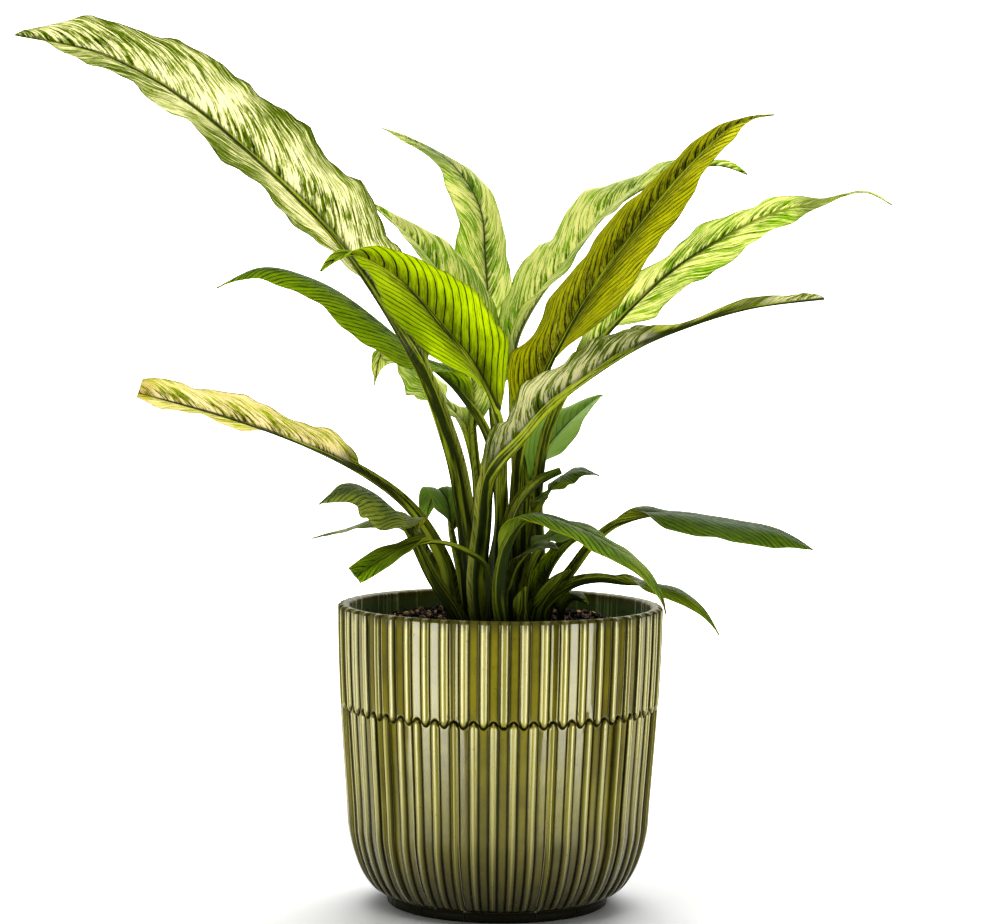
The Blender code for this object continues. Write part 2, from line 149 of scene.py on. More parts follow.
BLADES = (0, 0, 0.28)  # what each lamp is turned to
CROWN_LEVEL = (0, 0, 0.2)
BELOW_POT = (0, 0, -0.05)
softbox("light_behind", (0.15, 1.3, 1.25), BLADES, 1.6, 1.0, 26)
softbox("light_above", (-0.2, -0.3, 1.6), CROWN_LEVEL, 1.0, 0.8, 11)
softbox("light_left", (-1.12, -1.03, -0.20), BELOW_POT, 1.25, 0.95, 22)
softbox("light_right", (1.15, -0.97, -0.20), BELOW_POT, 1.0, 0.95, 17)


def studio_world(front, behind):
    """White wherever the camera looks; other rays find it dimmer in front."""
    world = bpy.data.worlds.new("studio")
    world.use_nodes = True
    nodes, links = world.node_tree.nodes, world.node_tree.links
    direction = nodes.new("ShaderNodeTexCoord")
    split = nodes.new("ShaderNodeSeparateXYZ")
    level = nodes.new("ShaderNodeMapRange")
    level.interpolation_type = "SMOOTHSTEP"
    set_inputs(level, {"From Min": 0.1, "From Max": 0.75, "To Min": front, "To Max": behind})
    path = nodes.new("ShaderNodeLightPath")
    seen = nodes.new("ShaderNodeMath")
    seen.operation = "MULTIPLY_ADD"
    seen.inputs[1].default_value = behind
    links.new(direction.outputs["Generated"], split.inputs["Vector"])
    links.new(split.outputs["Y"], level.inputs["Value"])
    links.new(path.outputs["Is Camera Ray"], seen.inputs[0])
    links.new(level.outputs["Result"], seen.inputs[2])
    links.new(seen.outputs["Value"], nodes["Background"].inputs["Strength"])
    nodes["Background"].inputs["Color"].default_value = (1, 1, 1, 1)
    return world


scene.world = studio_world(front=0.16, behind=1.25)
scene.view_settings.view_transform = "Standard"
scene.view_settings.look = "Medium High Contrast"

# %% [markdown]
# ## Shader maths
# Surfaces here are worked out by formula, so the materials need sums. One small class
# wraps a socket and lets Python's own signs build the nodes: a * b adds a Multiply
# node. Anything that isn't a sum comes from one method, `node`.

# %% The sum helper
class Sum:
    """A number socket that sums like a Python number."""

    def __init__(self, graph, socket):
        self.graph = graph
        self.socket = socket

    def _math(self, operation, *values):
        return self.graph.node("ShaderNodeMath", {"operation": operation}, values)

    def __add__(self, other):
        return self._math("ADD", self, other)

    def __sub__(self, other):
        return self._math("SUBTRACT", self, other)

    def __mul__(self, other):
        return self._math("MULTIPLY", self, other)

    def __truediv__(self, other):
        return self._math("DIVIDE", self, other)

    def __radd__(self, other):
        return self._math("ADD", other, self)

    def __rsub__(self, other):
        return self._math("SUBTRACT", other, self)

    def __rmul__(self, other):
        return self._math("MULTIPLY", other, self)

    def __abs__(self):
        return self._math("ABSOLUTE", self)

    def fraction(self):
        return self._math("FRACT", self)

    def at_least(self, other):
        return self._math("MAXIMUM", self, other)

    def at_most(self, other):
        return self._math("MINIMUM", self, other)

    def step(self, low, high):
        """Rises smoothly from 0 to 1 between two values."""
        settings = {"interpolation_type": "SMOOTHSTEP"}
        return self.graph.node("ShaderNodeMapRange", settings, (self, low, high))


class Graph:
    """A material's nodes, added one by one."""

    def __init__(self, name):
        self.material = bpy.data.materials.new(name)
        self.material.use_nodes = True
        self.tree = self.material.node_tree
        self.tree.nodes.clear()

    def node(self, kind, settings=None, values=(), output=0):
        """Adds a node: settings first, then values or links by place or name."""
        made = self.tree.nodes.new(kind)
        for key, setting in (settings or {}).items():
            setattr(made, key, setting)
        pairs = values.items() if isinstance(values, dict) else enumerate(values)
        for key, value in pairs:
            if isinstance(value, Sum):
                self.tree.links.new(value.socket, made.inputs[key])
            else:
                made.inputs[key].default_value = value
        return Sum(self, made.outputs[output]) if made.outputs else None

    def attribute(self, name):
        """The three numbers of a piece's own attribute."""
        vector = self.node("ShaderNodeAttribute", {"attribute_name": name}, output=1)
        split = self.node("ShaderNodeSeparateXYZ", values=(vector,))
        outputs = split.socket.node.outputs
        return [Sum(self, outputs[i]) for i in range(3)]

    def place(self):
        return self.node("ShaderNodeTexCoord", output=3)

    def vector(self, x, y, z):
        return self.node("ShaderNodeCombineXYZ", values=(x, y, z))

    def noise(self, where, scale, detail=3.0, roughness=0.5):
        values = {"Vector": where, "Scale": scale, "Detail": detail, "Roughness": roughness}
        return self.node("ShaderNodeTexNoise", values=values)

    def mix(self, share, first, second):
        """A colour between two colours."""
        values = {0: share, 6: self.colour(first), 7: self.colour(second)}
        return self.node("ShaderNodeMix", {"data_type": "RGBA"}, values, output=2)

    def colour(self, value):
        return value if isinstance(value, Sum) else (*value, 1)

    def bump(self, height, strength, distance):
        values = {"Strength": strength, "Distance": distance, "Height": height}
        return self.node("ShaderNodeBump", values=values)

    def surface(self, **values):
        """The main shader; an input's name is written with _ for each space."""
        named = {key.replace("_", " "): value for key, value in values.items()}
        return self.node("ShaderNodeBsdfPrincipled", values=named)

    def finish(self, shader):
        self.node("ShaderNodeOutputMaterial", values=(shader,))
        return self.material


print("sum helper ready")

# %% [markdown]
# ## Where the leaves run
# Each leaf follows a given route from the crown to its tip, the same one the CAD
# solid follows. A row holds x, y and the height above the crown, then the roll where
# there is one, and last a factor on the width. A formula then says how wide and how
# folded the leaf is at any share of its length, so it needs only a handful of rows.

# %% The leaves' routes, in millimetres and degrees
PLAIN = dict(stem=0.4, width=40, stalk=3.2, fold=15, peak=0.75, blunt=0.85, cut=1.0)
LEAVES = {
    "leaf_tall_left": dict(stem=0.34, width=56, stalk=5.0, blunt=0.55, peak=0.9, route=[
        (-11, -20, 0), (-13, -19, 20), (-16, -20, 48), (-23, -26, 81, 0, 0.3),
        (-41, -46, 125, 5, 0.75), (-76, -78, 176, 15), (-126, -106, 222, 15, 1.1),
        (-163, -122, 244, 20, 1.1), (-201, -132, 252, 20)]),
    "leaf_back_centre": dict(stem=0.38, width=32, fold=-12, peak=0.62, route=[
        (-2, 24, 0), (1, 28, 28), (0, 38, 63), (-4, 48, 90), (-6, 60, 123), (-9, 80, 163),
        (-12, 92, 190), (-25, 104, 211), (-42, 112, 222), (-62, 120, 231)]),
    "leaf_back_left": dict(width=35, fold=25, route=[
        (-9, 12, 0), (-10, 15, 28), (-11, 22, 56), (-14, 30, 84), (-15, 34, 108), (-21, 44, 142),
        (-36, 56, 165), (-50, 66, 179), (-65, 74, 192)]),
    "leaf_mid_left": dict(stem=0.42, width=38, stalk=3.0, fold=-30, route=[
        (-6, -3, 0), (-3, -2, 23), (0, -1, 46), (-5, -2, 80), (-18, -4, 102), (-34, -6, 117, -10),
        (-69, -12, 145, -15), (-91, -18, 156, -15), (-110, -22, 159, -10), (-129, -26, 150)]),
    "leaf_arching_centre": dict(width=42, route=[
        (-2, -14, 0), (-1, -15, 28), (0, -16, 58), (-1, -26, 89, 10), (-12, -46, 115, 20),
        (-28, -74, 136, 20), (-39, -94, 149, 20), (-51, -110, 159, 10), (-64, -120, 164),
        (-76, -126, 157)]),
    "leaf_front_right": dict(stem=0.28, width=28, stalk=4.8, fold=50, blunt=0.6, route=[
        (-9, -33, 0), (-11, -33, 20), (-9, -35, 44), (-6, -42, 68), (8, -54, 86), (24, -70, 104),
        (54, -82, 125, 0, 0.8), (79, -87, 136, 0, 0.1), (106, -91, 144, -10, 0.5),
        (136, -94, 148, -20)]),
    "leaf_broad_right": dict(stem=0.32, width=54, stalk=3.0, fold=-3, route=[
        (7, -8, 0), (6, -8, 28), (6, -9, 56), (9, -12, 82), (21, -18, 118), (42, -38, 156),
        (69, -60, 193), (91, -76, 217), (103, -83, 224), (114, -88, 226)]),
    "leaf_back_right": dict(width=39, fold=22, route=[
        (3, 13, 0), (5, 16, 28), (7, 22, 61), (5, 32, 98), (5, 41, 124), (16, 50, 147),
        (33, 60, 168), (50, 72, 189), (77, 86, 206), (102, 94, 213), (119, 98, 209)]),
    "leaf_outer_right": dict(width=33, fold=-8, route=[
        (18, 14, 0), (17, 15, 28), (16, 14, 60), (22, 10, 90, -10), (39, 6, 121, -25),
        (62, 8, 147, -40), (85, 14, 166, -40), (120, 20, 186, -40), (150, 22, 194, -20, 0.6),
        (167, 22, 198), (180, 20, 192)]),
    "leaf_small_back": dict(stem=0.5, width=34, stalk=2.8, fold=12, route=[
        (12, 26, 0), (12, 29, 18), (13, 35, 43), (17, 42, 68), (30, 52, 86), (48, 62, 101)]),
    "leaf_drooping_back": dict(stem=0.5, width=26, stalk=2.6, fold=-15, route=[
        (-13, 24, 0), (-12, 27, 23), (-11, 32, 53), (-18, 40, 84), (-31, 48, 101), (-46, 55, 116),
        (-55, 58, 123), (-60, 60, 117), (-62, 60, 104)]),
    "leaf_drying_left": dict(stem=0.46, width=30, stalk=3.6, peak=0.9, blunt=0.5, cut=0.93, route=[
        (-20, -12, 0), (-22, -11, 13), (-26, -10, 28), (-40, -12, 50), (-60, -18, 66, 10),
        (-88, -26, 80, 20), (-122, -34, 92, 30), (-162, -40, 103, 40)]),
    "leaf_folded_left": dict(stem=0.45, stalk=3.4, fold=-25, route=[
        (-17, -30, 0), (-22, -29, 9), (-31, -30, 22), (-41, -38, 42), (-48, -44, 52),
        (-55, -50, 59, -20), (-67, -58, 63, -25), (-80, -64, 56)]),
    "leaf_small_left": dict(stem=0.5, width=20, stalk=2.6, fold=0, route=[
        (-17, 5, 0), (-18, 9, 16), (-23, 16, 37), (-25, 20, 51), (-30, 23, 57), (-34, 26, 51),
        (-36, 28, 41)]),
    "leaf_thin_left": dict(stem=0.35, width=16, stalk=2.2, fold=-10, route=[
        (-24, 18, 0), (-27, 21, 13), (-37, 27, 31), (-48, 32, 39), (-60, 36, 41, -10),
        (-75, 40, 36, -10), (-90, 42, 32)]),
    "leaf_strap_left": dict(stem=0.6, width=12, stalk=1.6, fold=-5, blunt=0.4,
                            peak=0.9, cut=0.8, route=[
        (-6, -41, 0), (-5, -42, 16), (-7, -43, 28), (-18, -48, 36), (-30, -54, 39),
        (-43, -60, 37, -20), (-53, -64, 32, -40), (-64, -68, 25, -40)]),
    "leaf_low_front": dict(stem=0.25, width=20, fold=-15, route=[
        (1, -48, 0), (-1, -48, 14), (0, -50, 28), (5, -54, 44), (14, -58, 52), (30, -65, 48, 10),
        (46, -73, 41, 10), (61, -79, 31, 10), (69, -81, 20, 10), (72, -82, 11)]),
    "leaf_low_right": dict(stem=0.38, width=30, stalk=2.8, fold=-20, peak=1.1, blunt=0.7, route=[
        (20, -8, 0), (23, -8, 11), (32, -7, 23), (41, -8, 35), (53, -10, 45), (73, -14, 50, 10),
        (101, -20, 47, 15), (124, -24, 43, 15), (141, -26, 35, 10)]),
    "leaf_low_outer": dict(stem=0.45, width=14, fold=-15, route=[
        (17, -28, 0), (19, -28, 9), (31, -31, 19), (43, -34, 22), (55, -38, 21), (67, -40, 20, 10),
        (80, -42, 16, 20), (90, -43, 9, 20), (98, -44, -2, 10)]),
    "leaf_yellowing": dict(stem=0.2, width=14, stalk=1.8, fold=25, route=[
        (27, -16, 0), (28, -17, 6), (33, -19, 11), (40, -21, 9)]),
    "leaf_torn_back": dict(stem=0.55, width=22, stalk=2.8, fold=-15, route=[
        (12, 6, 0), (11, 7, 18), (12, 8, 36), (18, 5, 52), (26, 2, 64), (35, 0, 68, 15),
        (45, -1, 66, 15)]),
    "stalk_broken": dict(stem=0.3, width=8, stalk=3.6, fold=50, blunt=0.3, cut=0.85, route=[
        (1, -24, 0), (2, -24, 18), (3, -23, 38), (7, -21, 52), (16, -18, 62), (27, -16, 68)]),
    "leaf_bluish": dict(stem=0.48, width=22, stalk=2.8, fold=-5, route=[
        (9, -29, 0), (10, -27, 14), (13, -25, 26), (20, -23, 37), (31, -20, 43, 10),
        (40, -19, 43, 20), (47, -18, 40)]),
    "leaf_broad_low": dict(stem=0.2, width=20, fold=30, route=[
        (13, -17, 0), (16, -16, 11), (22, -15, 24), (30, -14, 34), (37, -14, 39)]),
    "leaf_brown_front": dict(stem=0.3, width=22, stalk=3.0, fold=0, route=[
        (4, -37, 0), (4, -37, 13), (6, -39, 25), (12, -43, 34, 20), (19, -47, 37, 10),
        (26, -50, 36)]),
    "leaf_short_right": dict(stem=0.25, width=12, stalk=2.6, fold=35, route=[
        (14, -38, 0), (17, -38, 10), (24, -38, 19), (31, -38, 26)]),
    "sheath_front": dict(stem=0.3, width=9, fold=45, route=[
        (10, -47, 0), (10, -47, 9), (11, -48, 19)]),
    "leaf_rolled_new": dict(stem=0.3, width=8, stalk=3.0, fold=60, route=[
        (7, 0, 0), (10, 0, 28), (11, 0, 53), (11, -1, 68), (9, -2, 77)]),
}
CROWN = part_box("leaf_tall_left")[0].z
print(len(LEAVES), "leaves on a crown", round(CROWN / MM, 1), "mm up")


# %% Following a route
STALK_FOLD = 58  # degrees: a stalk is folded like a gutter
RIB_AT_BASE = 1.15  # depth of the keel at the crown, in stalk half widths
RIB_AT_TIP = 0.7 * MM
FINE = 20  # samples from one row of a route to the next


def ease(value):
    value = min(max(value, 0.0), 1.0)
    return value * value * (3 - 2 * value)


def blend(start, end, share):
    return start + (end - start) * share


def route_points(rows):
    """Route rows in metres above the crown, as place, roll and width factor."""
    placed = []
    for x, y, rise, *rest in rows:
        roll, wide = (*rest, *(0, 1.0)[len(rest):])  # 0 and 1 where a row stops short
        place = Vector((x, y, rise)) * MM + Vector((0, 0, CROWN))
        placed.append((place, math.radians(roll), wide))
    return placed


def curve_between(points, i, share):
    """A smooth curve through the route: place, direction, roll, width factor."""
    last = len(points) - 1
    p0, p1 = points[max(i - 1, 0)], points[i]
    p2, p3 = points[i + 1], points[min(i + 2, last)]
    tangent_1 = (p2[0] - p0[0]) / 2
    tangent_2 = (p3[0] - p1[0]) / 2
    t, t2, t3 = share, share ** 2, share ** 3
    place = (p1[0] * (2 * t3 - 3 * t2 + 1) + tangent_1 * (t3 - 2 * t2 + t)
             + p2[0] * (3 * t2 - 2 * t3) + tangent_2 * (t3 - t2))
    direction = (p1[0] * (6 * t2 - 6 * t) + tangent_1 * (3 * t2 - 4 * t + 1)
                 + p2[0] * (6 * t - 6 * t2) + tangent_2 * (3 * t2 - 2 * t))
    roll = blend(p1[1], p2[1], ease(share))
    return place, direction.normalized(), roll, blend(p1[2], p2[2], ease(share))


def stations(rows, count):
    """Evenly spaced stations: place, direction, roll, width factor, distance."""
    points = route_points(rows)
    fine = []
    for i in range(len(points) - 1):
        fine += [curve_between(points, i, step / FINE) for step in range(FINE)]
    fine.append(curve_between(points, len(points) - 2, 1.0))
    fine[0] = (fine[0][0], Vector((0, 0, 1)), fine[0][2], fine[0][3])
    run = [0.0]
    for before, after in zip(fine, fine[1:]):
        run.append(run[-1] + (after[0] - before[0]).length)
    found, j = [], 0
    for k in range(count + 1):
        want = run[-1] * k / count
        while j < len(run) - 2 and run[j + 1] < want:
            j += 1
        t = (want - run[j]) / (run[j + 1] - run[j])
        a, b = fine[j], fine[j + 1]
        found.append((a[0].lerp(b[0], t), a[1].lerp(b[1], t).normalized(),
                      blend(a[2], b[2], t), blend(a[3], b[3], t), want))
    return found, run[-1]


tall_length = stations(LEAVES["leaf_tall_left"]["route"], 40)[1]
print("the tall leaf is", round(tall_length / MM), "mm from crown to tip")

# %% [markdown]
# ## One leaf
# A leaf could be a flat sheet bent by a curve, but its stalk, its keel and its thin
# edge are one body. So it starts as a closed tube standing upright, a cylinder cut
# into rings, and each ring is pressed into the leaf's cross-section: a thick folded
# stalk low down, a thin arched blade with a keel further up. The edge is rippled with
# two slow waves that grow towards the margin, as a real blade buckles.
# Each point also keeps where it lies on the leaf, so the veins can be drawn later:
# `leaf` holds share across, distance along and half width in millimetres, `kind` a
# number of the leaf's own, how much of a stalk it is and the share of its length, and
# `under` says which side it is.

# %% The cross-section of a leaf
ACROSS = 22  # points over each side of the section
MARGIN = 0.16 * MM  # thickness at the margin
BLADE = 0.42 * MM  # and beside the keel
ALL_STALK = 4 * MM  # half width up to which a section is all stalk
ALL_BLADE = 10 * MM  # and from which it is all blade


def leaf_shape(leaf, share, wide):
    """Half width, fold, keel depth and how much of a stalk, along the leaf."""
    stem = leaf["stem"]
    along = max(0.0, (share - stem) / (1 - stem)) * leaf["cut"]
    lance = max(0.0, math.sin(math.pi * along ** leaf["peak"])) ** leaf["blunt"]
    stalk = blend(leaf["stalk"], 0.35, share) * MM
    half = math.hypot(stalk, leaf["width"] / 2 * MM * lance * wide)
    fold = blend(STALK_FOLD, leaf["fold"], ease(along * 3.5))
    keel = blend(leaf["stalk"] * RIB_AT_BASE * MM, RIB_AT_TIP, ease(share ** 0.8))
    body = ease((ALL_BLADE - half) / (ALL_BLADE - ALL_STALK)) * (1 - ease((share - 0.8) / 0.15))
    return half, math.radians(fold), keel, body


def section_point(turn, half, fold, keel, body, ripple):
    """A point of the section: turn runs once round it, from the left margin over the
    upper side first."""
    under = turn > 0.5
    u = 1 - 4 * turn if not under else -1 + 4 * (turn - 0.5)
    u = math.copysign(abs(u) ** 1.15, u)
    side = math.copysign(1.0, u)
    reach = abs(u) * half
    arch = 0.10 * half * (1 - body) * math.sin(math.pi * min(abs(u), 1.0)) ** 1.2
    lift = ripple * abs(u) ** 2.2
    x = side * reach * math.cos(fold)
    y = reach * math.sin(fold) + arch + lift
    spread = ease(abs(u) * 3)
    out_x, out_y = -side * math.sin(fold) * spread, math.cos(fold) * spread + (1 - spread)
    thin = blend(BLADE, MARGIN, abs(u))
    if not under:
        groove = -0.35 * MM * math.exp(-(reach / (1.1 * MM)) ** 2) * (1 - body)
        rise = thin / 2 + body * keel * 0.12 * (1 - abs(u)) + groove
        return u, x + out_x * rise, y + out_y * rise, under
    ridge_width = 0.5 * keel + 0.55 * MM
    ridge = keel * math.exp(-(reach / ridge_width) ** 2)
    flesh = keel * 0.95 * (1 - abs(u) ** 1.6)
    drop = thin / 2 + blend(ridge, max(ridge, flesh), body)
    return u, x - out_x * drop, y - out_y * drop, under


print("section of", 2 * ACROSS, "points")


# %% A leaf from a tube
def tube(name, around, bands):
    """An upright tube cut into bands, one unit high, closed at both ends."""
    bpy.ops.object.select_all(action="DESELECT")
    bpy.ops.mesh.primitive_cylinder_add(vertices=around, radius=1, depth=1,
                                        end_fill_type="NGON")
    made = bpy.context.object
    made.name = name
    bm = bmesh.new()
    bm.from_mesh(made.data)
    upright = [e for e in bm.edges if abs(e.verts[0].co.z - e.verts[1].co.z) > 0.5]
    bmesh.ops.subdivide_edges(bm, edges=upright, cuts=bands - 1)
    bm.to_mesh(made.data)
    bm.free()
    return made


def ring_and_turn(vertex, bands):
    """Which ring of a tube a point is on, and its share of the way round."""
    ring = round((vertex.co.z + 0.5) * bands)
    return ring, (math.atan2(vertex.co.y, vertex.co.x) / TAU) % 1.0


def polish(mesh):
    """Turns every face outwards and shades it smooth."""
    bm = bmesh.new()
    bm.from_mesh(mesh)
    bmesh.ops.recalc_face_normals(bm, faces=bm.faces)
    bm.to_mesh(mesh)
    bm.free()
    mesh.shade_smooth()


def point_numbers(mesh, *names):
    """Attributes of three numbers for each point, for the materials."""
    for name in names:
        mesh.attributes.new(name, "FLOAT_VECTOR", "POINT")
    return [mesh.attributes[name].data for name in names]


# How strongly a margin waves (mm) and how often (radians to a metre); the streaked
# leaves grew unevenly and wave most.
CALM = (1.0, 130)
WAVES = {
    "leaf_tall_left": (1.7, 150), "leaf_front_right": (1.7, 190), "leaf_back_right": (1.8, 130),
    "leaf_outer_right": (1.8, 140), "leaf_drying_left": (1.3, 170), "leaf_back_centre": (1.6, 120),
    "leaf_drooping_back": (3.0, 260), "leaf_torn_back": (2.6, 300), "leaf_folded_left": (1.6, 170),
    "leaf_brown_front": (2.2, 300), "leaf_thin_left": (1.6, 240), "leaf_broad_low": (1.4, 260),
}


def ripple_at(wave, ripples, seed, side, distance):
    """How far the margin lifts at a distance along the leaf."""
    slow = math.sin(distance * ripples + seed * 2.3 + side * 1.4)
    quick = math.sin(distance * ripples * 2.7 + seed * 5.1 + side * 2.9)
    return wave * MM * (slow + 0.3 * quick)


def notch_at(wave, ripples, seed, side, distance):
    """A factor on the width: a wavy margin isn't evenly wide either."""
    swell = math.sin(distance * ripples * 1.3 + seed * 1.7 + side * 4.1)
    nick = math.sin(distance * ripples * 4.1 + seed * 3.3 + side)
    return 1 + wave * (0.022 * swell + 0.010 * nick)


LEAN = 25  # narrower leaves need fewer bands
MANY_BANDS, FEW_BANDS = 120, 70


def build_leaf(name, own, seed):
    leaf = PLAIN | own
    rows = leaf["route"]
    bands = MANY_BANDS if leaf["width"] > LEAN else FEW_BANDS
    path, length = stations(rows, bands)
    heading = Vector((rows[-1][0] - rows[0][0], rows[-1][1] - rows[0][1], 0)).normalized()
    left = Vector((-heading.y, heading.x, 0))
    waves = WAVES.get(name, CALM)
    made = tube(name + "_grown", 2 * ACROSS, bands)
    places, kinds, unders = point_numbers(made.data, "leaf", "kind", "under")
    for i, vertex in enumerate(made.data.vertices):
        ring, turn = ring_and_turn(vertex, bands)
        place, direction, roll, wide, distance = path[ring]
        across = (left - direction * left.dot(direction)).normalized()
        up = direction.cross(across)
        turned = across * math.cos(roll) + up * math.sin(roll)
        raised = up * math.cos(roll) - across * math.sin(roll)
        share = distance / length
        half, fold, keel, body = leaf_shape(leaf, share, wide)
        side = 1 if turn < 0.25 or turn > 0.75 else -1
        ripple = ripple_at(*waves, seed, side, distance)
        ripple = ripple * min(1.0, half / ALL_BLADE) * (1 - body)
        half *= blend(notch_at(*waves, seed, side, distance), 1, body)
        u, x, y, under = section_point(turn, half, fold, keel, body, ripple)
        vertex.co = place + turned * x + raised * y
        places[i].vector = (u, distance / MM, half / MM)
        kinds[i].vector = (seed, body, share)
        unders[i].vector = (under, 0, 0)
    polish(made.data)
    return made


leaves = {}
for seed, (name, own) in enumerate(LEAVES.items()):
    leaves[name] = build_leaf(name, own, seed)
    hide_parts(name)
    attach(leaves[name], "root")
print(len(leaves), "leaves grown,", sum(len(o.data.vertices) for o in leaves.values()), "points")

# %% [markdown]
# ## The ribbed pot
# The pot was thrown or cast with two bands of ribs whose ends interlock along a wavy
# seam, then dipped in a runny glaze. A boolean could cut each groove, but a formula
# keeps the ribs rounded and the seam crisp: a tall cylinder of rings is pressed into
# the pot's profile, from under the foot, up the wall, over the lip and down inside.
# Rings crowd at the seam and lines crowd at the sides of the ribs, where the shape
# turns fastest.

# %% Sizes of the pot, taken from the frame
POT_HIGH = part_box("pot")[1]
MOUTH = POT_HIGH.x
HEIGHT = POT_HIGH.z
SOIL_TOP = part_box("soil")[1].z
RIBS = 51
RIB_START = math.radians(1.65 - 90)
RELIEF = 1.5 * MM  # how deep the grooves are
WALL = 5.5 * MM
LIP = 1.6 * MM  # how high the rounded lip rises
SEAM = HEIGHT - 46 * MM  # where the two bands of ribs meet
SEAM_WAVE = 1.7 * MM
SEAM_NEAR, SEAM_WIDE = 1.4 * MM, 5 * MM
FOOT = 51 * MM  # radius of the foot ring
FOOT_HEIGHT = 5.5 * MM
CENTRE = 30 * MM  # the flat middle, under the pot and inside it
BOTTOM_ROUND = 34 * MM  # height of the rounded bottom
FLOOR_THICKNESS = 9 * MM
LIP_STEPS, INSIDE_STEPS = 12, 21
print("mouth", round(2 * MOUTH, 4), "height", round(HEIGHT, 4))


# %% Outline and ribs of the pot
def wall_radius(z):
    """Outside radius over the crests at height z."""
    shoulder = FOOT_HEIGHT + BOTTOM_ROUND
    waist = MOUTH * 0.93
    if z >= shoulder:
        return blend(waist, MOUTH, ease((z - shoulder) / (HEIGHT - shoulder)) ** 0.6)
    share = 1 - (z - FOOT_HEIGHT) / BOTTOM_ROUND
    return blend(FOOT + 1 * MM, waist, math.sqrt(max(0.0, 1 - share ** 1.5)))


def inner_radius(z):
    """The inside is the outside curve, squeezed up on to the floor, one wall in."""
    share = (z - FLOOR_THICKNESS) / (HEIGHT - LIP - FLOOR_THICKNESS)
    return wall_radius(blend(FOOT_HEIGHT, HEIGHT - LIP, share)) - WALL


def levels(low, high, count):
    return [blend(low, high, i / count) for i in range(count)]


def pot_profile():
    """Rings from under the foot, up, over the lip and down: radius, height, zone."""
    foot = ((CENTRE, 0), (FOOT - 1.2 * MM, 0), (FOOT - 0.3 * MM, 0.4 * MM), (FOOT, 1.3 * MM),
            (FOOT + 0.1 * MM, 3 * MM), (FOOT - 0.2 * MM, 4.6 * MM))
    rings = [(radius, z, "foot") for radius, z in foot]
    heights = levels(FOOT_HEIGHT, 20 * MM, 14) + levels(20 * MM, 42 * MM, 9)
    heights += levels(42 * MM, SEAM - SEAM_WIDE, 10)
    heights += levels(SEAM - SEAM_WIDE, SEAM - SEAM_NEAR, 6)
    heights += levels(SEAM - SEAM_NEAR, SEAM + SEAM_NEAR, 12)
    heights += levels(SEAM + SEAM_NEAR, SEAM + SEAM_WIDE, 6)
    heights += levels(SEAM + SEAM_WIDE, HEIGHT - LIP, 10)
    rings += [(wall_radius(z), z, "wall") for z in heights]
    for step in range(LIP_STEPS + 1):
        angle = math.pi * step / LIP_STEPS
        radius = MOUTH - WALL / 2 + WALL / 2 * math.cos(angle)
        rings.append((radius, HEIGHT - LIP + LIP * math.sin(angle), "lip"))
    depth = HEIGHT - LIP - FLOOR_THICKNESS
    for step in range(1, INSIDE_STEPS + 1):
        z = HEIGHT - LIP - depth * (step / INSIDE_STEPS) ** 1.2
        rings.append((inner_radius(z), z, "inside"))
    rings.append((CENTRE, FLOOR_THICKNESS, "inside"))
    return rings


# Lines over one rib pitch, as shares of it, crowded at the sides of both bands' ribs.
RIB_LINES = (0, 0.09, 0.155, 0.20, 0.25, 0.30, 0.38, 0.5, 0.62, 0.70, 0.75, 0.80, 0.845, 0.91)
PITCH = TAU * (MOUTH - RELIEF) / RIBS
RIB_HALF = 0.155  # a rib's rounded top, in pitches from its middle
RIB_FOOT = 0.25  # where its side meets the groove
SHADE_LINE = 0.07  # half width of the painted shade line at a rib's foot, where glaze also gathers, in pitches
CREVICE = 0.40 * MM  # half width of the seam's own groove
CREVICE_DEPTH = 0.5 * MM


def rib_height(away):
    """1 on a crest, 0 in a groove; away is the distance from a crest in pitches."""
    crown = 1 - 0.35 * min(1.0, away / RIB_HALF) ** 2
    return crown * (1 - ease((away - RIB_HALF) / (RIB_FOOT - RIB_HALF)))


def pot_point(radius, z, zone, share):
    """Where a ring point goes: radius, height, rib height, and painted shade where glaze gathers.
    """
    if zone in ("foot", "inside"):
        return radius, z, 0.0, 0.0
    above = z - SEAM
    wave = -SEAM_WAVE * math.cos(TAU * share) * math.exp(-(above / SEAM_WIDE) ** 2)
    own = share if above > 0 else share + 0.5  # the lower ribs stand between the upper
    side = abs((own + 0.5) % 1.0 - 0.5)
    short = max(0.0, RIB_FOOT - (abs(above) - 0.2 * MM) / PITCH)
    away = math.hypot(side, short)
    rib = rib_height(away)
    crevice = math.exp(-(above / CREVICE) ** 2)
    # Painted shade: near black at the foot of each rib and in the seam's crevice, where glaze also
    # gathers.
    shade_and_pool = max(crevice, math.exp(-((away - RIB_FOOT) / SHADE_LINE) ** 2))
    depth = RELIEF * ease((z - FOOT_HEIGHT + 1 * MM) / (6 * MM))
    if zone == "lip":
        over = max(0.0, (radius - (MOUTH - WALL)) / WALL)
        depth *= ease((over - 0.45) / 0.5)
        shade_and_pool *= over
    return radius - depth * (1 - rib) - CREVICE_DEPTH * crevice, z + wave, rib, shade_and_pool


# %% Press the cylinder into the pot
def turn_at(reach, angle):
    """x and y of a point at a reach and an angle from the middle."""
    return reach * math.cos(angle), reach * math.sin(angle)


def build_pot():
    rings = pot_profile()
    around = RIBS * len(RIB_LINES)
    pot = tube("glazed_pot", around, len(rings) - 1)
    glaze, zones = point_numbers(pot.data, "glaze", "zone")
    for i, vertex in enumerate(pot.data.vertices):
        ring, turn = ring_and_turn(vertex, len(rings) - 1)
        rib, line = divmod(round(turn * around) % around, len(RIB_LINES))
        share = RIB_LINES[line]
        radius, z, zone = rings[ring]
        radius, z, crest, shade_and_pool = pot_point(radius, z, zone, share)
        vertex.co = (*turn_at(radius, TAU * (rib + share) / RIBS + RIB_START), z)
        # The glaze attribute holds the crest, the painted shade where glaze gathers, and the
        # height.
        glaze[i].vector = (crest, shade_and_pool, z / HEIGHT)
        zones[i].vector = (zone == "lip", zone == "inside", zone == "foot")
    polish(pot.data)
    return pot


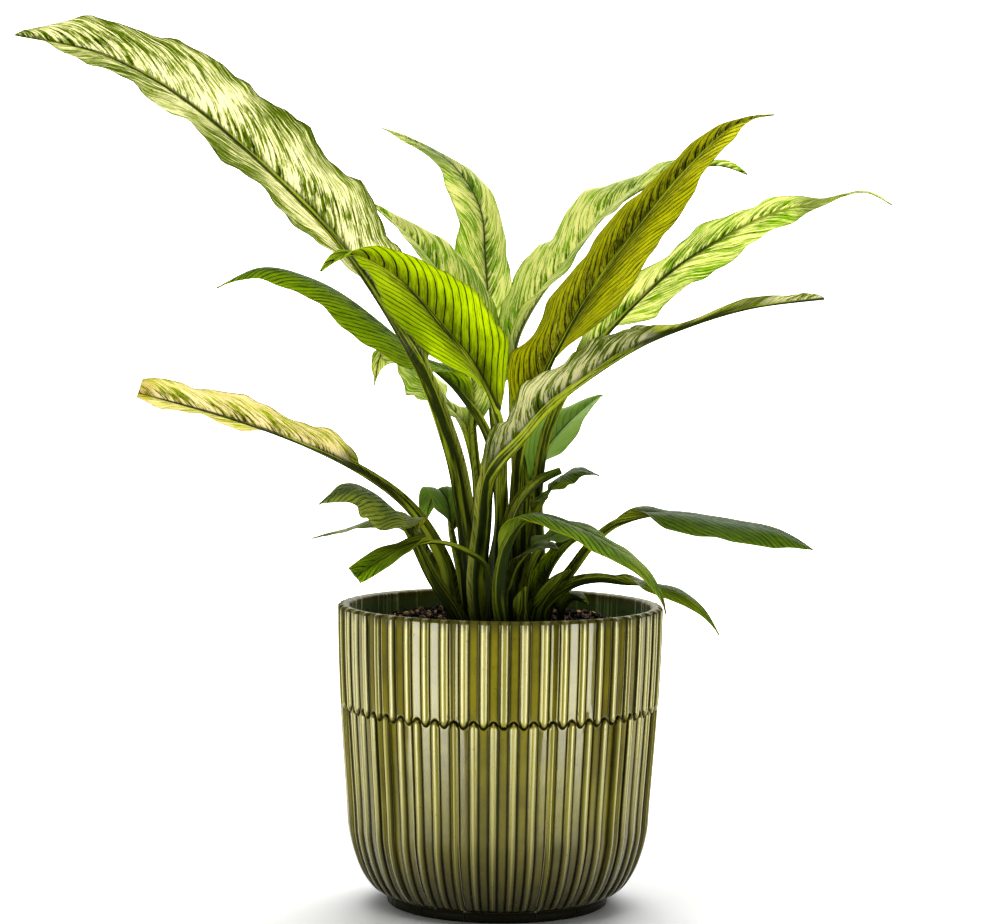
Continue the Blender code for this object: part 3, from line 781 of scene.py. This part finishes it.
pot = build_pot()
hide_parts("pot")
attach(pot, "root")
print("pot", tuple(round(d, 4) for d in pot.dimensions), len(pot.data.polygons), "faces")

# %% [markdown]
# ## The glaze
# A reactive olive glaze is thick in the grooves and thin on the crests, where it breaks
# to a pale straw green, and a thin pale line along each crest is a painted highlight.
# The corners at the foot of each rib and the seam are painted almost black: painted
# shade, where the glaze also gathers. The glaze runs towards the foot, and the colour is
# darker towards the foot. Inside it is a dull green, painted lighter to make up for the
# dim light that reaches it.
# A thin clear coat over a satin body gives the sharp shine, and the lip, the inside and
# the foot, where the glaze lies thin, are satin only.

# %% Colours as a paint chip gives them
def chip(red, green, blue):
    """A paint chip's three numbers from 0 to 255, as light values."""
    return tuple((c / 255 / 12.92) if c < 11 else ((c / 255 + 0.055) / 1.055) ** 2.4
                 for c in (red, green, blue))


def glaze_material(name, coat, roughness, specular):
    g = Graph(name)
    crest, shade_and_pool, height = g.attribute("glaze")
    lip, inside, foot = g.attribute("zone")
    place = g.place()
    cloud = g.noise(place, 38.0, 4.0, 0.6)
    runs = g.node("ShaderNodeMapping", {}, {"Vector": place, "Scale": (150.0, 150.0, 9.0)})
    run = g.noise(runs, 1.0, 3.0, 0.55)
    speck = g.noise(place, 900.0, 2.0, 0.5).step(0.66, 0.72)
    olive = g.mix(cloud.step(0.3, 0.7), chip(102, 96, 10), chip(130, 122, 22))
    olive = g.mix(run.step(0.42, 0.75) * 0.5, olive, chip(92, 86, 12))
    colour = g.mix(crest.step(0.1, 0.6) * 0.5, olive, chip(150, 144, 52))
    # Painted highlight: a thin pale line along the middle of each crest.
    thin = (crest + (run - 0.5) * 0.12).step(0.84, 0.99)
    colour = g.mix(thin, colour, chip(186, 178, 104))
    # Darker towards the foot.
    low = (1.0 - height.step(0.02, 0.45)) * 0.85
    colour = g.mix(low, colour, chip(40, 38, 8))
    # Painted shade: the rib feet and the seam go almost black, where glaze also gathers.
    colour = g.mix((shade_and_pool * (0.8 + run * 0.4)).at_most(0.98), colour, chip(6, 6, 2))
    colour = g.mix(speck * 0.35, colour, chip(40, 36, 12))
    # The inside's dull green, painted lighter to make up for the little light that reaches it.
    colour = g.mix(inside, colour, chip(98, 118, 66))
    colour = g.mix(lip * 0.8, colour, chip(74, 72, 28))
    colour = g.mix(foot, colour, chip(26, 25, 10))
    ripple = g.noise(place, 260.0, 2.0, 0.5)
    pits = g.node("ShaderNodeTexVoronoi", {"feature": "F1"}, {"Vector": place, "Scale": 130.0})
    pit = 1.0 - pits.step(0.03, 0.09)
    bump = g.bump(ripple * 0.35 - pit * 0.9 + cloud * 0.4, 0.35, 0.4 * MM)
    # Along the painted shade lines the glaze is rougher, metallic black and uncoated, so no
    # reflection lightens them.
    rough = roughness + shade_and_pool * 0.2 + (run - 0.5) * 0.05
    return g.finish(g.surface(
        Base_Color=colour, Roughness=rough, Normal=bump, Metallic=shade_and_pool * 0.9,
        Coat_Weight=(1.0 - shade_and_pool) * coat if coat else 0.0, Coat_Roughness=0.03,
        Specular_IOR_Level=specular))


OLIVE = dict(coat=0.8, roughness=0.11, specular=0.4)
SATIN = dict(coat=0.0, roughness=0.48, specular=0.12)
pot.data.materials.append(glaze_material("olive_glaze", **OLIVE))
pot.data.materials.append(glaze_material("satin_glaze", **SATIN))
zone_at = pot.data.attributes["zone"].data
for face in pot.data.polygons:
    off_the_wall = sum(sum(zone_at[v].vector) for v in face.vertices)
    if off_the_wall > 2:
        face.material_index = 1
print("glaze laid on", pot.name)

# %% [markdown]
# ## The soil
# Peat is a heap of crumbs, dark and moist below, paler where it has dried. The mound is
# one closed body pressed from a tube, like the pot, and roughened by a formula. Loose
# crumbs lie on it and a few cling to the wall: a low stone of twenty faces is made
# once, and each copy is squashed, turned and sunk a little at its own place.

# %% The mound of peat
def heap(x, y):
    """Height of the peat's own lumps at a place."""
    lumps = math.sin(x * 310 + 1.3) * math.sin(y * 270 + 0.4)
    lumps += 0.6 * math.sin(x * 730 + y * 410) * math.sin(y * 690 - x * 350 + 2.0)
    return 0.5 * MM * lumps


SOIL_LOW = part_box("soil")[0].z
SOIL_EDGE = HEIGHT - 14 * MM  # where the peat meets the wall
SOIL_GAP = 1 * MM  # between the mound's side and the wall
SINK = 0.8 * MM  # room below the soil's top for the lumps and crumbs
FLAT_TOP, MOUND_FOOT = 47 * MM, 65 * MM
MOUND_AROUND, SIDE_RINGS, TOP_RINGS = 180, 10, 45


def peat_level(x, y, reach):
    """Height of the heaped peat, lumps and all, at a place and its reach."""
    fall = ease((reach - FLAT_TOP) / (MOUND_FOOT - FLAT_TOP))
    return blend(SOIL_TOP, SOIL_EDGE, fall) - SINK + heap(x, y)


def build_mound():
    heights = levels(SOIL_LOW, SOIL_EDGE - SOIL_GAP, SIDE_RINGS)
    sides = [(inner_radius(z) - SOIL_GAP, z) for z in heights]
    widest = sides[-1][0]
    tops = [widest - 1 * MM - (widest - 2 * MM) * i / (TOP_RINGS - 1) for i in range(TOP_RINGS)]
    rings = [(10 * MM, SOIL_LOW)] + sides + [(reach, None) for reach in tops]
    mound = tube("peat_mound", MOUND_AROUND, len(rings) - 1)
    for vertex in mound.data.vertices:
        ring, turn = ring_and_turn(vertex, len(rings) - 1)
        reach, z = rings[ring]
        x, y = turn_at(reach, TAU * turn)
        vertex.co = (x, y, peat_level(x, y, reach) if z is None else z)
    polish(mound.data)
    return mound


mound = build_mound()
print("peat top", round(max(v.co.z for v in mound.data.vertices), 4))


# %% Crumbs of peat
CRUMBS, CLINGING = 2600, 90
CRUMB_SIZES = (0.5, 0.7, 0.9, 1.2, 1.7)  # half sizes in millimetres
SMALLEST, LARGEST = 0.15 * MM, 0.45 * MM  # of those that cling to the wall
CLIMB = 9 * MM  # and how far up it they go


def crumb_shape():
    bpy.ops.object.select_all(action="DESELECT")
    bpy.ops.mesh.primitive_ico_sphere_add(subdivisions=1, radius=1)
    stone = bpy.context.object
    points = [v.co.copy() for v in stone.data.vertices]
    faces = [tuple(p.vertices) for p in stone.data.polygons]
    bpy.data.objects.remove(stone, do_unlink=True)
    return points, faces


def spun(a, b, angle):
    """Two coordinates turned by an angle."""
    return (a * math.cos(angle) - b * math.sin(angle),
            a * math.sin(angle) + b * math.cos(angle))


def add_crumb(rng, shape, where, size, points, faces, tones):
    """One crumb: the stone squashed and turned at random, at its place."""
    first = len(points)
    spin = [rng.uniform(0, TAU) for _ in range(2)]
    stretch = [size * rng.uniform(0.6, 1.3) for _ in range(3)]
    tone = rng.random()
    for corner in shape[0]:
        x, y, z = (corner[i] * stretch[i] * rng.uniform(0.6, 1.2) for i in range(3))
        x, y = spun(x, y, spin[0])
        x, z = spun(x, z, spin[1])
        points.append((where[0] + x, where[1] + y, where[2] + z))
        tones.append((tone, 0, 0))
    faces.extend(tuple(first + i for i in face) for face in shape[1])


def build_crumbs():
    rng = random.Random(7)
    shape = crumb_shape()
    points, faces, tones = [], [], []
    for _ in range(CRUMBS):
        reach = (inner_radius(SOIL_EDGE) - 2.5 * MM) * math.sqrt(rng.random())
        x, y = turn_at(reach, rng.uniform(0, TAU))
        size = rng.choice(CRUMB_SIZES) * MM
        z = peat_level(x, y, reach) + size * 0.3
        add_crumb(rng, shape, (x, y, z), size, points, faces, tones)
    for _ in range(CLINGING):
        angle = rng.uniform(0, TAU)
        z = SOIL_EDGE + rng.random() ** 1.6 * CLIMB
        size = rng.uniform(SMALLEST, LARGEST)
        place = (*turn_at(inner_radius(z) - size * 1.1, angle), z)
        add_crumb(rng, shape, place, size, points, faces, tones)
    mesh = bpy.data.meshes.new("peat_crumbs")
    mesh.from_pydata(points, [], faces)
    for item, tone in zip(point_numbers(mesh, "tone")[0], tones):
        item.vector = tone
    crumbs = bpy.data.objects.new("peat_crumbs", mesh)
    scene.collection.objects.link(crumbs)
    return crumbs


crumbs = build_crumbs()
for piece in (mound, crumbs):
    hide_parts("soil")
    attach(piece, "root")
print(len(crumbs.data.polygons) // 20, "crumbs")


# %% Peat colours
def peat_material(name, by_crumb):
    g = Graph(name)
    place = g.place()
    grain = g.noise(place, 420.0, 4.0, 0.65)
    if by_crumb:
        tone = g.attribute("tone")[0]
        dry = tone * 0.8 + grain * 0.3
        colour = g.mix(dry.step(0.45, 0.85), chip(26, 17, 11), chip(104, 76, 48))
        colour = g.mix(tone.step(0.84, 0.92), colour, chip(196, 160, 112))
    else:
        colour = g.mix(grain.step(0.35, 0.7), chip(14, 10, 7), chip(58, 40, 26))
    return g.finish(g.surface(Base_Color=colour, Roughness=0.92, Specular_IOR_Level=0.2,
                              Normal=g.bump(grain, 0.8, 0.6 * MM)))


mound.data.materials.append(peat_material("moist_peat", False))
crumbs.data.materials.append(peat_material("loose_peat", True))
print("peat coloured")

# %% [markdown]
# ## The surface of a leaf
# A peace lily's side veins leave the keel at a slant and bend towards the tip. The
# attribute `leaf` turns any point into a distance along the vein that passes it, so a
# wave of that distance draws the veins and a stretched noise along it draws the cream
# and green streaks of a variegated plant. Light passes through a blade, which is why a
# leaf seen from below glows: part of the surface is a translucent shader, and masks
# choose between a green, a cream and a dark one whose colours are constant. One
# function makes every skin, and a look is a short list of what sets it apart.

# %% The leaf material
def leaf_material(name, look):
    g = Graph(name)
    u, along, half = g.attribute("leaf")
    seed, body, share = g.attribute("kind")
    under = g.attribute("under")[0]
    across = abs(u)
    away = across * half
    inner = 1.0 - across
    blade = 1.0 - body
    left = u.step(-0.02, 0.02)

    # The vein each point lies on, and patterns stretched along the veins.
    drift = g.noise(g.vector(along * 0.03, u * 1.5, seed * 3.7), 1.0, 2.0, 0.5) - 0.5
    slant = away * 1.5 + away * away / half.at_least(1.0) * 0.9
    vein = along - slant + left * 1.7 + drift * 5.0
    streaks = g.vector(vein * 0.55, away * 0.13 + left * 31.0, seed * 5.3)
    streak = g.noise(streaks, 1.0, 6.0, 0.75)
    patch = g.noise(g.vector(along * 0.03, u * 1.2, seed * 2.1), 1.0, 2.0, 0.5)
    mottle = g.noise(g.vector(vein * 0.8, away * 0.3 + left * 17.0, seed * 7.9), 1.0, 4.0, 0.72)
    line = abs((vein / look["spacing"]).fraction() - 0.5) * 2.0
    main = (line.step(0.82, 0.96) * blade * (0.3 + mottle * 1.5)).at_most(1.0)
    hair = abs((vein * 4.3 / look["spacing"]).fraction() - 0.5).step(0.2, 0.5) * blade

    # The masks, each from 0 to 1, that choose between the look's colours.
    shadow = (mottle + inner * 0.07 + line * 0.05).step(0.54, 0.63) * blade * look["mottled"]
    level = 0.5 + (0.5 - look["cream_share"]) * 0.3
    rim = across.step(0.5, 1.0) * look["green_rim"]
    cream = streak * 0.55 + mottle * 0.3 + patch * 0.15 - rim
    cream = cream.step(level - 0.02, level + 0.02) * blade
    # Painted shade: the blade is darker towards the midrib.
    midrib_shade = inner.step(0.35, 1.0) * look["midrib_shade"] * blade
    drawn = main * look["vein_strength"] * (1.0 - cream * 0.85)
    rib_half = (1.15 - share) * look["rib"] * under.at_least(0.45)
    rib = (1.0 - (away / rib_half).step(0.55, 1.0)) * blade
    keel = (rib + body).at_most(1.0)
    edge = across.step(0.93, 0.985) * blade
    tip = look["dead_tip"]
    torn = (share + (streak - 0.5) * 0.1).step(1.0 - tip, 1.0 - tip * 0.5)

    # Green first, darkened by painted shade towards the midrib, then the upper side's tone
    # with a painted sky reflection, cream, veins, keel and stalk, the shaded crown and the edges.
    colour = g.mix((patch + mottle - 0.5).step(0.35, 0.65), look["green"], look["light"])
    colour = g.mix(hair * 0.35, colour, look["light"])
    colour = g.mix(shadow, colour, look["vein"])
    colour = g.mix(midrib_shade, colour, look["vein"])
    # The upper side: partly its own tone, partly lightened by a painted reflection of the sky.
    colour = g.mix((1.0 - under) * 0.5, colour, look["top"])
    colour = g.mix(cream, colour, look["cream"])
    colour = g.mix(drawn, colour, look["vein"])
    stripe = g.noise(g.vector(u * half * 1.3, along * 0.014, seed), 1.0, 4.0, 0.65)
    pith = g.mix(stripe.step(0.46, 0.60), look["keel"], look["stripe"])
    wing = across.step(0.3, 0.9) * look["winged"] * streak.step(0.4, 0.56)
    pith = g.mix(wing, pith, look["wing"])
    colour = g.mix(keel * 0.96, colour, pith)
    crown = 1.0 - (along / 110.0).step(0.1, 1.0)
    colour = g.mix(crown * 0.6, colour, look["shade"])
    colour = g.mix(edge * look["edge_strength"], colour, look["edge"])
    colour = g.mix(torn * look["dead"], colour, DEAD)

    # The skin, and the light that comes through it where it is thin.
    blotch = g.noise(g.vector(along * 0.25, away * 0.25, seed), 1.0, 3.0, 0.6)
    height = main * -0.5 - hair * 0.12 + blotch * 0.5 + stripe * keel * 0.6
    skin = g.surface(Base_Color=colour, Roughness=0.38 + blotch * 0.2 + under * 0.12,
                     Normal=g.bump(height, 0.6, 0.6 * MM), Specular_IOR_Level=0.09)
    green, pale, dull = [g.node("ShaderNodeBsdfTranslucent", values=((*look[tint], 1),))
                         for tint in ("glow", "cream_glow", "vein_glow")]
    dark = (drawn + hair * 0.12 + (shadow + midrib_shade) * (1.0 - cream) + keel).at_most(1.0)
    through = g.node("ShaderNodeMixShader", values=(cream, green, pale))
    through = g.node("ShaderNodeMixShader", values=(dark, through, dull))
    clear = look["clear"] * (1.0 - keel * 0.85)
    return g.finish(g.node("ShaderNodeMixShader", values=(clear, skin, through)))


DEAD = chip(128, 78, 30)
# In a look, top is the upper side's colour lightened by a painted sky reflection, and one share
# sets the painted shade by the midrib.
PLAIN_LOOK = dict(
    green=chip(92, 124, 8), light=chip(160, 184, 28), top=chip(116, 158, 30),
    cream=chip(236, 236, 168), vein=chip(22, 38, 2), keel=chip(36, 46, 4),
    stripe=chip(158, 170, 34), wing=chip(160, 168, 50), edge=chip(170, 176, 70),
    shade=chip(16, 30, 2), glow=chip(220, 234, 10), cream_glow=chip(252, 250, 196),
    vein_glow=chip(22, 36, 1), cream_share=0.1, green_rim=0.0, vein_strength=0.9,
    spacing=5.0, winged=0.7, edge_strength=0.35, dead=0.0, dead_tip=0.06, clear=0.65,
    mottled=0.6, rib=3.0, midrib_shade=0.35)
LOOKS = {
    "streaked": dict(green=chip(76, 92, 6), light=chip(150, 162, 30), top=chip(150, 170, 70),
                     cream=chip(236, 234, 198), wing=chip(190, 192, 88),
                     glow=chip(150, 168, 14), cream_glow=chip(250, 246, 214),
                     cream_share=0.52, green_rim=0.03, vein_strength=0.8, winged=1.0,
                     clear=0.78, rib=4.2, midrib_shade=0.0),
    "pale": dict(green=chip(94, 138, 14), light=chip(166, 198, 44), top=chip(140, 184, 80),
                 glow=chip(190, 222, 30), cream_share=0.52, vein_strength=0.7, midrib_shade=0.15),
    "glowing": dict(green=chip(140, 168, 4), light=chip(196, 212, 24), top=chip(140, 178, 66),
                    glow=chip(226, 240, 4), cream_share=0.08, vein_strength=1.0,
                    spacing=8.5, mottled=0.35),
    "olive": dict(green=chip(130, 132, 4), light=chip(206, 204, 44), vein=chip(34, 46, 2),
                  cream=chip(226, 222, 130), glow=chip(222, 222, 6),
                  cream_glow=chip(240, 236, 130), cream_share=0.2, vein_strength=1.0,
                  spacing=6.5),
    "deep": dict(green=chip(96, 134, 6), light=chip(160, 190, 26), top=chip(112, 158, 34),
                 cream_share=0.04),
    "dark": dict(green=chip(52, 76, 6), light=chip(100, 124, 20), top=chip(80, 116, 40),
                 keel=chip(34, 42, 8), cream_share=0.0, clear=0.35),
    "bluish": dict(green=chip(156, 182, 88), light=chip(192, 212, 130),
                   top=chip(140, 166, 104), vein=chip(96, 130, 50),
                   glow=chip(196, 224, 110), vein_glow=chip(120, 150, 60),
                   cream_share=0.0, vein_strength=0.5, clear=0.5, mottled=0.3),
    "drying": dict(green=chip(100, 98, 18), light=chip(164, 156, 60),
                   top=chip(186, 176, 110), cream=chip(238, 224, 184),
                   vein=chip(84, 62, 24), cream_glow=chip(244, 232, 196),
                   cream_share=0.54, vein_strength=0.4, winged=0.9, dead=0.7,
                   dead_tip=0.04),
    "edged": dict(green=chip(112, 160, 24), light=chip(172, 208, 70), top=chip(140, 184, 84),
                  edge=chip(226, 214, 30), cream_share=0.06, edge_strength=0.95, dead=0.9),
    "mottled": dict(green=chip(92, 104, 10), light=chip(180, 184, 44),
                    top=chip(178, 214, 138), cream=chip(196, 214, 130),
                    glow=chip(214, 214, 20), cream_glow=chip(226, 230, 120),
                    cream_share=0.16, spacing=5.5, mottled=0.8),
    "brown": dict(green=chip(74, 72, 14), light=chip(108, 100, 28), edge=chip(84, 108, 30),
                  glow=chip(140, 122, 20), cream_share=0.0, clear=0.35),
}
WEARS = {
    "leaf_tall_left": "streaked", "leaf_front_right": "streaked",
    "leaf_back_centre": "pale", "leaf_back_left": "pale", "leaf_back_right": "pale",
    "leaf_outer_right": "pale", "leaf_drooping_back": "pale",
    "leaf_arching_centre": "glowing", "leaf_mid_left": "deep", "leaf_broad_right": "olive",
    "leaf_small_back": "bluish", "leaf_bluish": "bluish", "leaf_small_left": "bluish",
    "leaf_drying_left": "drying", "leaf_low_front": "edged", "leaf_yellowing": "edged",
    "leaf_brown_front": "brown", "leaf_folded_left": "mottled", "leaf_thin_left": "dark",
    "leaf_torn_back": "dark", "leaf_low_right": "dark", "stalk_broken": "dark",
}
skins = {look: leaf_material("leaf_" + look, PLAIN_LOOK | own) for look, own in LOOKS.items()}
for name, leaf in leaves.items():
    leaf.data.materials.append(skins[WEARS.get(name, "deep")])
print(len(skins), "leaf skins on", len(leaves), "leaves")
